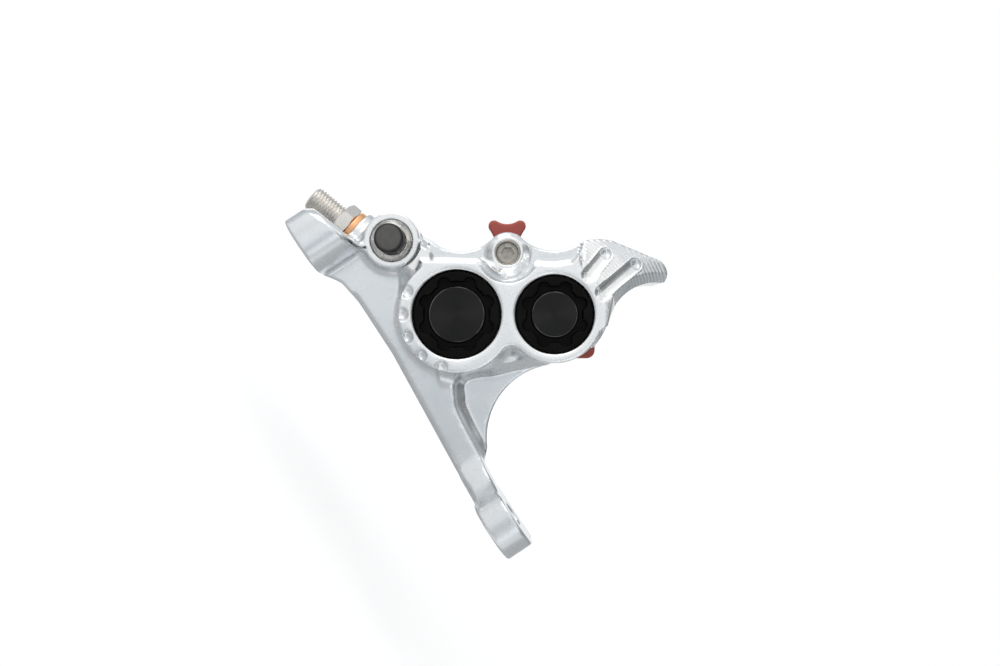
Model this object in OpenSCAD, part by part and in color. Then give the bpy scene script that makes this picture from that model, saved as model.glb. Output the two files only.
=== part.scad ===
// Four-piston bicycle disc brake caliper, machined from one piece, with two ears for a 70 mm flat mount.
// Mount face: Z = 0. Bolt axes: Y = 0. Outboard side: -Y. Mount line: X. Millimetres.
// Inside the modules, head() has u along the bore line, v away from the axle and w outboard.

/* [Mounting] */
// Distance between the two mounting bolts
mount_spacing = 70; // [68:0.5:74]
// Distance of the mounting bolts from the rotor plane
mount_offset = 14.3; // [13.6:0.1:15.5]
// Radius of a mounting ear
ear_radius = 6; // [5.4:0.1:6.8]
// Height of the lower mounting ear
ear_height = 6.1; // [5.6:0.1:7.5]
// How far an ear runs on past its hole before it is rounded
ear_reach = 1.2; // [0.6:0.1:2]
// Depth of the upper mounting ear's top below the connector's axis
ear_cut = 1.4; // [1:0.1:3]
// Diameter of a mounting bolt hole
bolt_hole = 5.5; // [5.2:0.1:6.2]

/* [Head] */
// Angle between the bore line and the mount face
head_angle = 56.5; // [55:0.5:58]
// Pad centre along the mount line
pad_x = -0.6; // [-1.6:0.1:0.4]
// Pad centre above the mount face
pad_z = 27.6; // [27.2:0.1:29]
// Distance between the large and the small bore
bore_spacing = 20; // [19.6:0.1:21]
// Outboard face of the head, from the rotor plane
face_w = 20; // [19.6:0.1:21.5]
// Inboard back of the head, from the rotor plane
back_w = 17; // [16.6:0.1:18.5]
// Outside radius of the large housing
large_ring = 12; // [11.6:0.1:12.6]
// Outside radius of the small housing
small_ring = 10; // [9.6:0.1:10.6]
// Floor of the recess along the top edge, from the rotor plane
saddle_w = 15; // [13:0.1:16.5]
// Number of dimples on the large housing
dimples = 5; // [3:1:6]

/* [Arm] */
// Front of the arm, from the rotor plane
arm_front = 9.5; // [9:0.1:10.5]
// Back of the arm, from the rotor plane
arm_back = 3.5; // [3:0.1:4.5]
// Front of the web in the crook, from the rotor plane
web_front = 6.4; // [5.6:0.1:7.5]
// Radius of the crook
crook_radius = 16; // [15.4:0.1:17]

/* [Pistons] */
// Diameter of a large piston bore
large_bore = 16; // [15.4:0.1:16.4]
// Diameter of a small piston bore
small_bore = 14; // [13.4:0.1:14.4]
// Radial clearance of a piston in its bore
piston_gap = 0.04; // [0.02:0.01:0.08]
// Length of a piston
piston_length = 8.2; // [7.6:0.1:8.4]

/* [Pads] */
// Length of a pad
pad_length = 38.6; // [37.6:0.1:39]
// Thickness of a backing plate
plate_thick = 1.8; // [1.4:0.1:2]
// Thickness of a lining
lining_thick = 2.3; // [1.6:0.1:2.5]
// Diameter of the pad pin
pin_diameter = 3; // [2.6:0.1:3.2]
// Thickness of the transport spacer
spacer_thick = 2; // [1.6:0.1:2]

/* [Fittings] */
// Diameter of the connector thread
connector_thread = 6; // [5.6:0.1:6.6]
// Width across the flats of the connector
connector_hex = 8; // [7.6:0.1:8.6]
// Outside diameter of the copper washer
washer_diameter = 9; // [8.6:0.1:9.8]
// Outside diameter of the rubber nipple cap
nipple_cap_diameter = 6.2; // [5.9:0.1:6.6]

/* [Hidden] */
$fn = 96;
e = 0.02;
half = bore_spacing / 2;
ear_x = mount_spacing / 2;
slot_w = 2;
slot_radius = 82;
axle_v = -70;
pin_u = 0.4;
pin_v = 12.8;
pin_radius = pin_diameter / 2;
lining_front = 1.6;
lining_back = lining_front + lining_thick;
plate_w0 = lining_back;
plate_w1 = lining_back + plate_thick;
pocket_w = plate_w1 + 0.4;
pocket_half = pad_length / 2 + 0.3;
pad_half = pad_length / 2;
piston_w0 = plate_w1 + 0.3;
piston_w1 = piston_w0 + piston_length;
chamber_w = piston_w1 + 1.3;
large_cap = large_bore + 2;
small_cap = small_bore + 2;
cap_front = face_w - 0.4;
bleed_u = -24.1;
bleed_v = 15.75;
bleed_face = 11.5;
bleed_floor = 10.3;
port_u = -42.55;
port_v = 26.1;
port_angle = -39.3;
port_start = 12.2;
washer_thick = 1.4;
stem_end = 18.4;
spanner_room = 6.2;
arm_y = mount_offset - arm_front;
lean = head_angle + port_angle;
port_x = pad_x + port_u * cos(head_angle) - port_v * sin(head_angle);
port_z = pad_z + port_u * sin(head_angle) + port_v * cos(head_angle);
ear_top = port_z - ear_cut / cos(lean) - (ear_x + port_x) * tan(lean);
ear_along = -(ear_x + port_x) * cos(lean) + (ear_top - port_z) * sin(lean);
hex_start = 7.75;
bleed_clear = 6.3;
ear_bevel = 0.8;
feed_u = -25.5;
feed_v = 11.7;
tail_slope = 0.57;
tail_root = 10.6;
slot_half = 1.17;
slot_side = 1.13;
slot_depth = 1.1;
valley_u = 1.2;
valley_v = -9.6;
valley_r = 3.2;
valley_floor = 9;
silver = [0.78, 0.79, 0.80];
black = [0.05, 0.05, 0.055];
steel = [0.62, 0.61, 0.60];
rubber = [0.08, 0.08, 0.08];

// Frames

module flat() {
  translate([0, mount_offset, 0]) rotate([90, 0, 0]) children();
}

module head() {
  flat() translate([pad_x, pad_z, 0]) rotate(head_angle) children();
}

module port() {
  head() translate([port_u, port_v, 0]) rotate(port_angle) rotate([0, 90, 0]) children();
}

module side(s) {
  mirror([0, 0, s < 0 ? 1 : 0]) children();
}

// Building shapes

module rod(u, v, r, w0, w1) {
  translate([u, v, w0]) cylinder(r = r, h = w1 - w0);
}

module slab(w0, w1) {
  translate([0, 0, w0]) linear_extrude(w1 - w0) children();
}

module tube(r0, r1, w0, w1) {
  difference() {
    translate([0, 0, w0]) cylinder(r = r1, h = w1 - w0);
    translate([0, 0, w0 - 1]) cylinder(r = r0, h = w1 - w0 + 2);
  }
}

// Concave fillet round a boss of radius r that stands on the plane w = 0
module fillet_ring(r, f) {
  rotate_extrude() difference() {
    translate([r - 0.6, -0.4]) square([f + 0.6, f + 0.4]);
    translate([r + 1.03 * f, 1.03 * f]) circle(1.05 * f);
  }
}

module drill(from, to, r) {
  d = to - from;
  len = norm(d);
  translate(from) rotate([0, acos(d[2] / len), atan2(d[1], d[0])]) cylinder(r = r, h = len);
}

// Body: head

module ring_pair(rl, rs, w0, w1) {
  rod(-half, 0, rl, w0, w1);
  rod(half, 0, rs, w0, w1);
  difference() {
    slab(w0, w1) polygon([[-half, 4], [-half, 0], [valley_u, valley_v], [half, 0], [half, 4]]);
    rod(valley_u, valley_v, valley_r, w0 - 1, w1 + 1);
  }
}

// Wavy top edge between the two bridges, with the pin boss in its middle
module top_wall(w0, w1) {
  difference() {
    slab(w0, w1) polygon([[-20, 0], [-20, 15.2], [-15, 15.2], [-3, 16], [4.6, 16], [15, 15.4], [22, 15.4], [22, 0]]);
    rod(-9.4, 22.5, 9.4, w0 - 1, w1 + 1);
    rod(10.2, 23.6, 10.3, w0 - 1, w1 + 1);
  }
  rod(pin_u, pin_v, 4.35, w0, w1 + 0.4);
}

module brow() {
  difference() {
    slab(saddle_w - 1, face_w) polygon([
      [-17.6, 6], [-17.2, 11.3], [6, 11.3], [11, 11.9], [14.8, 13], [15.6, 8], [half, 0], [-half, 0]
    ]);
    rod(pin_u, pin_v, 6.4, saddle_w, face_w + 1);
  }
  translate([pin_u, pin_v, saddle_w + 0.4 - e]) cylinder(r1 = 4.3, r2 = 3.2, h = 1.3);
}

module tail() {
  intersection() {
    difference() {
      union() {
        slab(-12, face_w) polygon([
          [14, 0], [14, 15.2], [16.5, 15.4], [19.7, 15.75], [22, 15.5], [32.1, 11.65], [30.9, 8.65], [30.9, 5], [20, -3]
        ]);
        rod(30.9, 8.65, 3.3, -12, face_w);
      }
      rod(32, -4.4, 11.3, -13, face_w + 1);
      rod(10.2, 23.6, 10.3, -13, face_w + 1);
    }
    translate([half, 0, 0]) rotate_extrude() polygon([
      [0, -12], [17, -12], [30, -6], [30, face_w - (30 - tail_root) * tail_slope], [tail_root, face_w], [0, face_w]
    ]);
  }
}

// Round-ended slot that follows the slope of the tail
module tail_slot(from, to) {
  d = to - from;
  floor_w = face_w - slot_depth;
  intersection() {
    union() {
      rod(from[0], from[1], slot_half, 5, face_w + 1);
      rod(to[0], to[1], slot_half, 5, face_w + 1);
      translate([from[0], from[1], 5]) rotate(atan2(d[1], d[0])) translate([0, -slot_side, 0])
        cube([norm(d), 2 * slot_side, face_w - 4]);
    }
    translate([half, 0, 0]) rotate_extrude() polygon([
      [0, floor_w], [tail_root, floor_w], [30, floor_w - (30 - tail_root) * tail_slope], [30, face_w + 1], [0, face_w + 1]
    ]);
  }
}

module abutment(s) {
  side(s) intersection() {
    rod(half - 2, 3, 14.6, slot_w, 9);
    slab(slot_w, 9) translate([18, -7]) square([6, 13]);
  }
}

module bridge_left() {
  rod(bleed_u, bleed_v, 6, -12, bleed_face);
  slab(-12, arm_front) polygon([
    [-24.1, 9.2], [-19, 5], [-17, 5], [-17, 15.1], [-18.3, 15.2], [-20, 19.6], [-24.1, 21.7]
  ]);
}

module head_block() {
  ring_pair(large_ring, small_ring, slot_w, face_w);
  ring_pair(large_ring - 0.4, small_ring - 0.2, -back_w + 1.2, -slot_w);
  translate([-half, 0, -back_w]) cylinder(r1 = large_ring - 1.8, r2 = large_ring - 0.4, h = 1.2 + e);
  translate([half, 0, -back_w]) cylinder(r1 = small_ring - 1.6, r2 = small_ring - 0.2, h = 1.2 + e);
  difference() {
    top_wall(slot_w, saddle_w);
    translate([bleed_u, bleed_v, bleed_face]) cylinder(r1 = bleed_clear, r2 = bleed_clear + 4.6, h = 8);
  }
  top_wall(-12.5, -slot_w);
  brow();
  tail();
  abutment(1);
  abutment(-1);
  bridge_left();
}

// Body: arm

arm_points = [
  [-ear_x, 0], [-ear_x + 6, 0], [-ear_x + 7.5, 1.1], [-ear_x + 9.5, 2.3], [-20, 3], [-7, 2.9],
  [ear_x - 12, 0.4], [ear_x - 6, 0], [ear_x, 0], [ear_x, 6], [ear_x - 4.3, 5.6], [ear_x - 12, 6.4],
  [19.4, 6.8], [14.7, 7.2], [10, 7.9], [6.4, 9.8], [3.3, 11.9], [-5, 20], [-20, 20], [-27, 17.5],
  [-32.6, 14.5], [-31.4, 9], [-29.3, 6], [-ear_x, 6]
];

module arm_bevel(p, q) {
  d = q - p;
  translate([p[0], p[1], arm_front]) rotate(atan2(d[1], d[0])) rotate([90, 0, 90]) linear_extrude(norm(d))
    polygon([[-0.4, -1.3], [1.3, 0.4], [-0.4, 0.4]]);
}

module arm_plate() {
  difference() {
    flat() slab(arm_back, arm_front) polygon(arm_points);
    flat() arm_bevel([-22.5, 2.8], [-7, 2.9]);
    flat() arm_bevel([-7.5, 2.95], [ear_x - 12, 0.4]);
  }
}

module web() {
  head() difference() {
    slab(arm_back, web_front) polygon([
      [-13, -9.2], [-12, -24], [-9, -28], [-5.6, -32], [-4.4, -31], [-3.4, -26.4], [2, -15], [11.6, -9.2]
    ]);
    rod(12, -26.4, crook_radius, arm_back - 1, web_front + 1);
  }
  head() difference() {
    slab(pocket_w, valley_floor) polygon([[-9, -4], [9, -4], [10.5, -9.7], [3, -9.7], [-3, -11.2], [-9, -11.6]]);
    rod(12, -26.4, crook_radius + 0.3, pocket_w - 1, valley_floor + 1);
  }
}

// Ear drawn out past its hole, away from the caliper's middle
module ear(x, h) {
  outer = x + sign(x) * ear_reach;
  first = min(x, outer);
  for (c = [x, outer])
    translate([c, 0, 0]) cylinder(r = ear_radius, h = h);
  translate([first, -ear_radius + 0.02, 0]) cube([ear_reach, ear_radius, h]);
  translate([first - ear_radius, 0, 0]) cube([2 * ear_radius + ear_reach, mount_offset - 6, h]);
}

// What stays of the upper ear's front inside its bevel, in the connector's frame
module bevelled_front(flat, reach) {
  for (z = [0, -reach])
    translate([0, 0, z]) rotate([90, 0, 0]) cylinder(r1 = flat, r2 = flat + 20, h = 20);
  translate([0, 0, -reach]) linear_extrude(reach)
    polygon([[0, 0], [-flat + 0.02, 0], [-flat - 19.98, -20], [0, -20]]);
}

// Upper ear, cut off along the connector and bevelled round its top
module upper_ear() {
  flat = ear_radius - ear_bevel;
  side = flat + 0.1;
  drop = (ear_radius - side * cos(lean)) / (cos(lean) - sin(lean));
  left = -ear_radius - ear_reach;
  edge_x = -ear_reach - side * cos(lean);
  edge_z = ear_top - ear_reach * tan(lean) - side * sin(lean);
  difference() {
    intersection() {
      ear(-ear_x, ear_top + ear_radius);
      port() translate([-30, -40 - ear_cut, -20]) cube([60, 40, 60]);
    }
    difference() {
      translate([-ear_x - 11, -9, 0]) cube([20, 9, 30]);
      port() translate([-mount_offset, -ear_cut + e, ear_along]) bevelled_front(flat, ear_reach / cos(lean));
    }
    translate([-ear_x, mount_offset, 0]) rotate([90, 0, 0]) linear_extrude(mount_offset) polygon([
      [edge_x, edge_z], [edge_x, ear_top + 1], [left - 1, ear_top + 1],
      [left - 1, edge_z - drop * (sin(lean) + cos(lean)) - 1], [left, edge_z - drop * (sin(lean) + cos(lean))],
    ]);
  }
}

// Concave ramp from the arm up to the lower ear
module ear_ramp() {
  translate([0, 0, 1]) linear_extrude(ear_height - 1) difference() {
    polygon([
      [ear_x - 14, arm_y + 0.5], [ear_x - 3, arm_y + 0.5], [ear_x - 3, -3.4], [ear_x - 5, -3.4]
    ]);
    translate([ear_x - 14.4, -4.6]) circle(arm_y + 4.4);
  }
}

module boss_fillets() {
  intersection() {
    head() union() {
      translate([-half, 0, arm_front]) fillet_ring(large_ring, 2);
      translate([bleed_u, bleed_v, arm_front]) fillet_ring(6, 1.9);
    }
    flat() slab(arm_front - 0.5, arm_front + 3) polygon(arm_points);
  }
}

module port_boss() {
  port() translate([0, 0, port_start]) cylinder(r = 5.5, h = 9);
}

// Body: what is cut away

module bore(s, u, r, rc) {
  side(s) {
    rod(u, 0, r, 0, chamber_w);
    rod(u, 0, r + 1.6, piston_w0 + 3.2, piston_w0 + 5.2);
    rod(u, 0, r + 1.1, piston_w0 + 1, piston_w0 + 2.2);
  }
}

module cap_hole(u, r) {
  rod(u, 0, r, chamber_w - e, face_w + 1);
  translate([u, 0, face_w - 0.45]) cylinder(r1 = r, r2 = r + 0.9, h = 0.9);
}

module head_cuts() {
  translate([pin_u - pocket_half, -14, -pocket_w]) cube([2 * pocket_half, 50, 2 * pocket_w]);
  rod(pin_u, axle_v, slot_radius, -slot_w, slot_w);
}

module fine_cuts() {
  bore(1, -half, large_bore / 2);
  bore(-1, -half, large_bore / 2);
  bore(1, half, small_bore / 2);
  bore(-1, half, small_bore / 2);
  cap_hole(-half, large_cap / 2);
  cap_hole(half, small_cap / 2);
  for (i = [0 : dimples - 1])
    translate([-half, 0, 0]) rotate(155.7 + 24.4 * i) translate([large_ring - 0.9, 0, face_w + 0.3])
      sphere(1.25);
  tail_slot([17.4, 7.9], [21, 12.5]);
  tail_slot([19.9, 3.9], [27.3, 9.8]);
  rod(pin_u, pin_v, 2.5, 8.5, saddle_w + 5);
  rod(pin_u, pin_v, pin_radius + 0.06, -16, 9);
  rod(bleed_u, bleed_v, 4.2, bleed_floor, bleed_face + 1);
  rod(bleed_u, bleed_v, 3, 1.4, bleed_floor + e);
}

module drillings() {
  drill([feed_u, feed_v, 0], [-half - 6.4, 4.4, piston_w1 + 0.65], 0.6);
  drill([feed_u, feed_v, 0], [-half - 6.4, 4.4, -piston_w1 - 0.65], 0.6);
  drill([bleed_u, bleed_v, 2.2], [feed_u - 0.3, feed_v + 0.3, 0], 0.6);
  for (s = [-1, 1])
    drill([-half + 7, 0, s * (piston_w1 + 0.65)], [half - 6, 0, s * (piston_w1 + 0.65)], 0.6);
}

module port_hole() {
  port() {
    translate([0, 0, port_start - 1]) cylinder(r = connector_thread / 2 + 0.05, h = stem_end - port_start + 1.6);
    translate([0, 0, stem_end]) cylinder(r = 1.3, h = 4);
  }
}

module caliper_body() {
  color(silver) difference() {
    union() {
      head() difference() {
        head_block();
        head_cuts();
      }
      difference() {
        union() {
          arm_plate();
          upper_ear();
          ear(ear_x, ear_height);
          ear_ramp();
          boss_fillets();
        }
        head() translate([pin_u - pocket_half, -9.9, -1]) cube([2 * pocket_half, 50, pocket_w + 1]);
      }
      web();
      port_boss();
    }
    head() fine_cuts();
    head() drillings();
    port_hole();
    port() translate([0, 0, -6]) cylinder(r = spanner_room, h = port_start + 6);
    for (x = [-ear_x, ear_x])
      translate([x, 0, -1]) cylinder(d = bolt_hole, h = ear_top + 12);
  }
}

// Bore caps

module bore_cap(u, r, disc) {
  color(black) head() translate([u, 0, 0]) difference() {
    union() {
      translate([0, 0, chamber_w + 0.05]) cylinder(r = r - 0.05, h = cap_front - chamber_w - 0.45);
      translate([0, 0, cap_front - 0.4 - e]) cylinder(r1 = r - 0.05, r2 = r - 0.4, h = 0.4 + e);
    }
    difference() {
      union() {
        translate([0, 0, cap_front - 1.3]) cylinder(r = disc + 1.1, h = 2);
        for (i = [0 : 7])
          rotate(22.5 + 45 * i) translate([disc + 1, 0, cap_front - 1.3]) cylinder(r = 1.35, h = 2);
      }
      translate([0, 0, cap_front - 2]) cylinder(r = disc, h = 1.8);
    }
    tube(r - 1.25, r + 1, chamber_w + 0.6, chamber_w + 1.9);
  }
}

module cap_seal(u, r) {
  color(rubber) head() translate([u, 0, chamber_w + 1.25]) rotate_extrude() translate([r - 0.63, 0]) circle(0.58);
}

module bore_cap_large() { bore_cap(-half, large_cap / 2, 5.7); }
module bore_cap_small() { bore_cap(half, small_cap / 2, 4.7); }
module cap_seal_large() { cap_seal(-half, large_cap / 2); }
module cap_seal_small() { cap_seal(half, small_cap / 2); }

// Pistons, inserts and seals

module piston(s, u, bore_d) {
  r = bore_d / 2 - piston_gap;
  color(steel) head() side(s) translate([u, 0, 0]) difference() {
    union() {
      translate([0, 0, piston_w0]) cylinder(r = r, h = piston_length - 0.7 + e);
      translate([0, 0, piston_w1 - 0.7]) cylinder(r1 = r, r2 = r - 0.7, h = 0.7);
    }
    translate([0, 0, piston_w0 - 1]) cylinder(r = r - 1.7, h = piston_length - 1.2);
  }
}

module insert(s, u, bore_d) {
  r = bore_d / 2 - piston_gap;
  color([0.32, 0.2, 0.12]) head() side(s) translate([u, 0, 0]) difference() {
    union() {
      translate([0, 0, piston_w0 - 0.28]) cylinder(r = r - 0.5, h = 0.26);
      translate([0, 0, piston_w0 - 0.2]) cylinder(r = r - 1.75, h = 2.4);
    }
    translate([0, 0, piston_w0 - 1]) cylinder(r = r - 3.6, h = 5);
  }
}

module seal(s, u, bore_d, w0, w1, depth) {
  color(rubber) head() side(s) translate([u, 0, 0])
    tube(bore_d / 2 + 0.01, bore_d / 2 + depth - 0.04, piston_w0 + w0 + 0.05, piston_w0 + w1 - 0.05);
}

module outer_piston_large() { piston(1, -half, large_bore); }
module outer_piston_small() { piston(1, half, small_bore); }
module inner_piston_large() { piston(-1, -half, large_bore); }
module inner_piston_small() { piston(-1, half, small_bore); }
module outer_insert_large() { insert(1, -half, large_bore); }
module outer_insert_small() { insert(1, half, small_bore); }
module inner_insert_large() { insert(-1, -half, large_bore); }
module inner_insert_small() { insert(-1, half, small_bore); }
module outer_seal_large() { seal(1, -half, large_bore, 3.2, 5.2, 1.6); }
module outer_seal_small() { seal(1, half, small_bore, 3.2, 5.2, 1.6); }
module inner_seal_large() { seal(-1, -half, large_bore, 3.2, 5.2, 1.6); }
module inner_seal_small() { seal(-1, half, small_bore, 3.2, 5.2, 1.6); }
module outer_dust_seal_large() { seal(1, -half, large_bore, 1, 2.2, 1.1); }
module outer_dust_seal_small() { seal(1, half, small_bore, 1, 2.2, 1.1); }
module inner_dust_seal_large() { seal(-1, -half, large_bore, 1, 2.2, 1.1); }
module inner_dust_seal_small() { seal(-1, half, small_bore, 1, 2.2, 1.1); }

// Pads, spring, pin and spacer

module pad_plate(s) {
  a = pad_half;
  color([0.2, 0.2, 0.21]) head() side(s) translate([pin_u, 0, 0]) difference() {
    slab(plate_w0, plate_w1) polygon([
      [-a, -4], [-a + 4.5, -8.5], [a - 4.5, -8.5], [a, -4], [a, 5.5], [a - 3.5, 9], [3.6, 9],
      [3.6, 14], [1.8, 16], [-1.8, 16], [-3.6, 14], [-3.6, 9], [-a + 3.5, 9], [-a, 5.5]
    ]);
    rod(0, pin_v, pin_radius + 0.3, plate_w0 - 1, plate_w1 + 1);
  }
}

module pad_lining(s) {
  a = pad_half - 1.6;
  color([0.38, 0.3, 0.24]) head() side(s) translate([pin_u, 0, 0]) slab(lining_front, lining_back) polygon([
    [-a, -3.6], [-a + 3.8, -7.4], [a - 3.8, -7.4], [a, -3.6], [a, 4.6], [a - 2.4, 7], [-a + 2.4, 7], [-a, 4.6]
  ]);
}

module outer_pad_plate() { pad_plate(1); }
module inner_pad_plate() { pad_plate(-1); }
module outer_pad_lining() { pad_lining(1); }
module inner_pad_lining() { pad_lining(-1); }

module spring_leaf() {
  slab(lining_back - 0.45, lining_back - 0.05) polygon([
    [-15, 7.4], [15, 7.4], [15, 8.7], [2.6, 9.2], [2.6, 10.6], [6.6, 14.6], [5.8, 15.2], [1.4, 10.9], [-1.4, 10.9],
    [-2.6, 10.4], [-2.6, 9.2], [-15, 8.7]
  ]);
}

module pad_spring() {
  color([0.25, 0.25, 0.27]) head() translate([pin_u, 0, 0]) {
    for (s = [1, -1]) side(s) spring_leaf();
    translate([-1.4, 10.4, -lining_back + 0.1]) cube([2.8, 0.5, 2 * lining_back - 0.2]);
  }
}

module pad_pin() {
  color(steel) head() translate([pin_u, pin_v, 0]) difference() {
    union() {
      translate([0, 0, -14.4]) cylinder(r = pin_radius, h = 23.5);
      translate([0, 0, 8.6]) cylinder(r = 2.45, h = saddle_w - 9.2);
    }
    tube(pin_radius - 0.35, pin_radius + 1, -13.65, -12.95);
    translate([0, 0, saddle_w - 3]) cylinder(d = 2.9, h = 4, $fn = 6);
  }
}

module pin_clip() {
  color(steel) head() translate([pin_u, pin_v, 0]) difference() {
    translate([0, 0, -13.6]) cylinder(r = 3.1, h = 0.6);
    translate([0, 0, -14]) cylinder(r = pin_radius - 0.3, h = 2);
    translate([0, -0.9, -14]) cube([4, 1.8, 2]);
  }
}

module transport_spacer() {
  a = pad_half;
  color([0.72, 0.16, 0.12]) head() translate([pin_u, 0, 0]) difference() {
    union() {
      slab(-spacer_thick / 2, spacer_thick / 2) polygon([
        [-a, -7.6], [-a + 1.8, -9.4], [a - 1.8, -9.4], [a, -7.6], [a, 5.5], [a - 4, 9.4], [5, 11], [2.87, 14.6],
        [2.87, 17.2], [4.1, 19.6], [2.8, 21], [-2.8, 21], [-4.1, 19.6], [-2.87, 17.2], [-2.87, 14.6], [-5, 11],
        [-a + 4, 9.4], [-a, 5.5]
      ]);
      for (s = [-1, 1]) {
        rod(s * (a - 1.8), -7.6, 1.8, -spacer_thick / 2, spacer_thick / 2);
        rod(s * 2.85, 19.75, 1.3, -spacer_thick / 2, spacer_thick / 2);
      }
    }
    rod(0, 24.4, 4.2, -3, 3);
    rod(0, pin_v, pin_radius + 0.3, -3, 3);
    translate([-pin_radius - 0.3, -12, -3]) cube([2 * pin_radius + 0.6, 12 + pin_v, 6]);
  }
}

// Fittings

module hose_connector() {
  color(steel) port() difference() {
    union() {
      translate([0, 0, 0.5]) cylinder(d = connector_thread, h = hex_start);
      cylinder(d1 = connector_thread - 1, d2 = connector_thread, h = 0.5 + e);
      translate([0, 0, hex_start]) rotate(30) cylinder(d = connector_hex / cos(30), h = 2.65, $fn = 6);
      translate([0, 0, 9]) cylinder(d = connector_hex - 0.2, h = port_start - washer_thick - 9);
      translate([0, 0, 9]) cylinder(d = connector_thread, h = stem_end - 9);
    }
    translate([0, 0, -1]) cylinder(r = 1, h = stem_end + 2);
    translate([0, 0, -e]) cylinder(r1 = 2.2, r2 = 1, h = 1.6);
  }
}

module copper_washer() {
  color([0.78, 0.42, 0.2]) port()
    tube(connector_thread / 2 + 0.1, washer_diameter / 2, port_start - washer_thick, port_start);
}

module bleed_nipple() {
  color(steel) head() translate([bleed_u, bleed_v, 0]) difference() {
    union() {
      translate([0, 0, 2.6]) cylinder(r1 = 1.2, r2 = 2.94, h = 1.6);
      translate([0, 0, 4.2 - e]) cylinder(r = 2.94, h = bleed_floor - 4);
      translate([0, 0, bleed_floor + 0.1]) cylinder(d = 6.2, h = 2, $fn = 6);
      translate([0, 0, bleed_floor + 1]) cylinder(r = 2.1, h = 5.1);
      translate([0, 0, bleed_floor + 4.3]) cylinder(r1 = 2.4, r2 = 1.9, h = 2);
    }
    translate([0, 0, 6]) cylinder(r = 0.8, h = 16);
    translate([-4, 0, 6.6]) rotate([0, 90, 0]) cylinder(r = 0.7, h = 8);
  }
}

module nipple_cap() {
  r = nipple_cap_diameter / 2;
  color(rubber) head() translate([bleed_u, bleed_v, 0]) difference() {
    union() {
      translate([0, 0, bleed_floor + 2.3]) cylinder(r = r, h = 4.7);
      translate([0, 0, bleed_floor + 7 - e]) cylinder(r1 = r, r2 = r - 0.65, h = 0.7);
    }
    translate([0, 0, bleed_floor + 2]) cylinder(r = 2.5, h = 4.5);
  }
}

caliper_body();
bore_cap_large();
bore_cap_small();
cap_seal_large();
cap_seal_small();
outer_piston_large();
outer_piston_small();
inner_piston_large();
inner_piston_small();
outer_insert_large();
outer_insert_small();
inner_insert_large();
inner_insert_small();
outer_seal_large();
outer_seal_small();
inner_seal_large();
inner_seal_small();
outer_dust_seal_large();
outer_dust_seal_small();
inner_dust_seal_large();
inner_dust_seal_small();
outer_pad_plate();
inner_pad_plate();
outer_pad_lining();
inner_pad_lining();
pad_spring();
pad_pin();
pin_clip();
hose_connector();
copper_washer();
bleed_nipple();
nipple_cap();
transport_spacer();
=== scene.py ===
"""Studio scene of a machined bicycle disc brake caliper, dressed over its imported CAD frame. Metres, row frame."""

import math

import bpy
import numpy as np
import openvdb
from mathutils import Matrix, Vector


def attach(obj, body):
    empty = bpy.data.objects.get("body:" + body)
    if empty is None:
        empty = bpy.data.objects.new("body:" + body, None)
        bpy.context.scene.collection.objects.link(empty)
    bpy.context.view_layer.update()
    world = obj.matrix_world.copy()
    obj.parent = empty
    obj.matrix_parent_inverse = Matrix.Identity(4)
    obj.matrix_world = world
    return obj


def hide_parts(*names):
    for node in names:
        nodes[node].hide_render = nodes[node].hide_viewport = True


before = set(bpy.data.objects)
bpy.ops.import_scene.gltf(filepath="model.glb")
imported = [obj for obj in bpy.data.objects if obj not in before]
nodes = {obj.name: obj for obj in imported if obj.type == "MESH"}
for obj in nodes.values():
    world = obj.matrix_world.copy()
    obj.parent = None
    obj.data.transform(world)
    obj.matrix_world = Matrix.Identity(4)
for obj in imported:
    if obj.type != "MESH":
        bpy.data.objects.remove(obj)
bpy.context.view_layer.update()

MM = 0.001

# The head frame has u along the bore line, v away from the axle and w outboard from the rotor plane, in mm.
HEAD_ANGLE = math.radians(56.5)
PAD_CENTRE = (-0.6, 27.6)
ROTOR_Y = 14.3
LARGE_BORE = (-10.0, 0.0)
SMALL_BORE = (10.0, 0.0)
PIN = (0.4, 12.8)
BLEED = (-24.1, 15.75)
PORT = (-42.55, 26.1)
PORT_ANGLE = math.radians(-39.3)

HEAD_TO_ROW = Matrix((
    (math.cos(HEAD_ANGLE), -math.sin(HEAD_ANGLE), 0, PAD_CENTRE[0] * MM),
    (0, 0, -1, ROTOR_Y * MM),
    (math.sin(HEAD_ANGLE), math.cos(HEAD_ANGLE), 0, PAD_CENTRE[1] * MM),
    (0, 0, 0, 1),
))


def to_head(points):
    """Row-frame points in mm as head-frame points."""
    x, y, z = points[:, 0] - PAD_CENTRE[0], points[:, 1], points[:, 2] - PAD_CENTRE[1]
    c, s = math.cos(HEAD_ANGLE), math.sin(HEAD_ANGLE)
    return np.stack([x * c + z * s, z * c - x * s, ROTOR_Y - y], 1)


def to_row(points):
    """Head-frame points as row-frame points in mm."""
    u, v, w = points[:, 0], points[:, 1], points[:, 2]
    c, s = math.cos(HEAD_ANGLE), math.sin(HEAD_ANGLE)
    return np.stack([PAD_CENTRE[0] + u * c - v * s, ROTOR_Y - w, PAD_CENTRE[1] + u * s + v * c], 1)


def head_direction(u, v, w):
    """A head-frame direction in the row frame."""
    return HEAD_TO_ROW.to_3x3() @ Vector((u, v, w))


# Shader building

def add_node(tree, kind, inputs=None, **settings):
    """A new shader node with its settings, and its inputs set to a value or linked to a socket."""
    node = tree.nodes.new(kind)
    for key, value in settings.items():
        setattr(node, key, value)
    for key, value in (inputs or {}).items():
        if isinstance(value, bpy.types.NodeSocket):
            tree.links.new(value, node.inputs[key])
        else:
            node.inputs[key].default_value = value
    return node


def math_node(tree, operation, a, b=0.0, clamp=False):
    """The result of a maths node on numbers or sockets."""
    return add_node(tree, "ShaderNodeMath", {0: a, 1: b}, operation=operation, use_clamp=clamp).outputs[0]


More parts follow.
